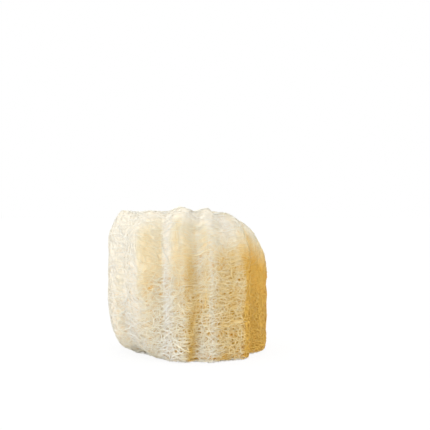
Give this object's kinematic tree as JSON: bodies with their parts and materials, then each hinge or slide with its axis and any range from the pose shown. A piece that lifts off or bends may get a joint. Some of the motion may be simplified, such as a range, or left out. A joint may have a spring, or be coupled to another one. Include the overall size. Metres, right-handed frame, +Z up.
{
  "type": "loofah sponge",
  "caption": "Crosswise section of a dried luffa gourd for washing and scrubbing, with a lobed felted wall and seed channels that run through it from cut to cut.",
  "frame": {"origin": "middle of the lower cut, on the surface that the sponge stands on", "axes": "+Z up along the gourd's length and the seed channels, -Y towards the side that the picture shows, +X to that view's right"},
  "size_m": [0.104, 0.1004, 0.0913],
  "materials": {
    "luffa_fibre": "matt dry plant fibre, bleached cream outside and golden in the grooves and pores"
  },
  "bodies": {
    "root": {"loofah_sponge": "luffa_fibre"}
  },
  "joints": []
}
